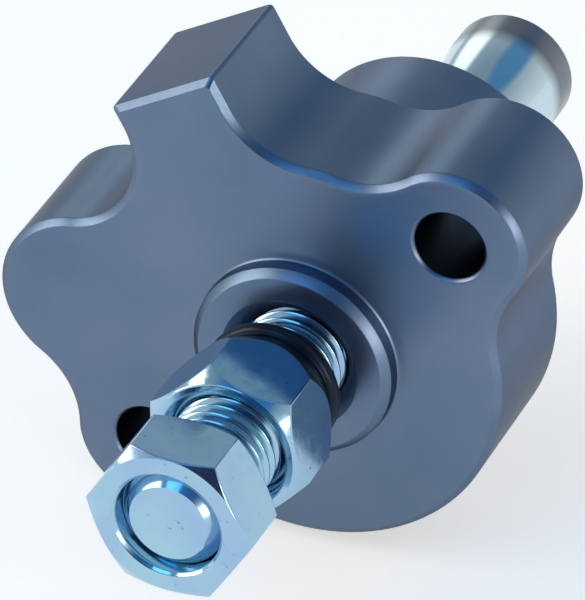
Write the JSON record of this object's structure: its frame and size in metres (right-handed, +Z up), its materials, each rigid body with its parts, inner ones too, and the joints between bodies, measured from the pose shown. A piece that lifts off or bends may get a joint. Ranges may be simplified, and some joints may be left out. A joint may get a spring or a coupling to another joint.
{
  "type": "manual cam chain tensioner",
  "caption": "Billet flange with ears, arm and barrel; a long threaded stud with hex nut, lock nut and sealing ring screws through it and carries a swivelling foot.",
  "frame": {"origin": "on the barrel's axis, in the rear face of the flange, which seats on the engine", "axes": "+Y along the barrel towards the foot, +Z up as in the picture, +X to the right seen from the nut's end"},
  "size_m": [0.0516, 0.0836, 0.0478],
  "materials": {
    "anodised_body": "satin slate-blue anodised, machined",
    "zinc_stud": "bright blue zinc plate",
    "zinc_nuts": "bright blue zinc plate",
    "black_rubber": "smooth black nitrile",
    "spring_wire": "drawn wire",
    "polished_foot": "polished, with a light zinc plate"
  },
  "bodies": {
    "body": {"tensioner_body": "anodised_body"},
    "foot": {"foot": "polished_foot"},
    "stud": {"adjuster_stud": "zinc_stud", "end_nut": "zinc_nuts", "foot_clip": "spring_wire"},
    "seal": {"seal_ring": "black_rubber"},
    "lock_nut": {"lock_nut": "zinc_nuts"}
  },
  "joints": [
    {"name": "adjuster_travel", "type": "slide", "parent": "body", "child": "foot", "axis": [0, 1, 0], "range_m": [-0.0181, 0.0045]},
    {"name": "adjuster_turn", "type": "hinge", "parent": "foot", "child": "stud", "pos_m": [0, 0, 0], "axis": [0, 1, 0], "range_deg": [-5184, 1260]},
    {"name": "lock_nut_travel", "type": "slide", "parent": "body", "child": "seal", "axis": [0, 1, 0], "range_m": [-0.0013, 0.0036]},
    {"name": "lock_nut_turn", "type": "hinge", "parent": "seal", "child": "lock_nut", "pos_m": [0, -0.026, 0], "axis": [0, 1, 0], "range_deg": [-360, 1008]}
  ],
  "couplings": [
    {"joint": "adjuster_travel", "follows": "adjuster_turn", "m_per_rad": 0.00019894},
    {"joint": "lock_nut_travel", "follows": "lock_nut_turn", "m_per_rad": 0.00019894}
  ]
}
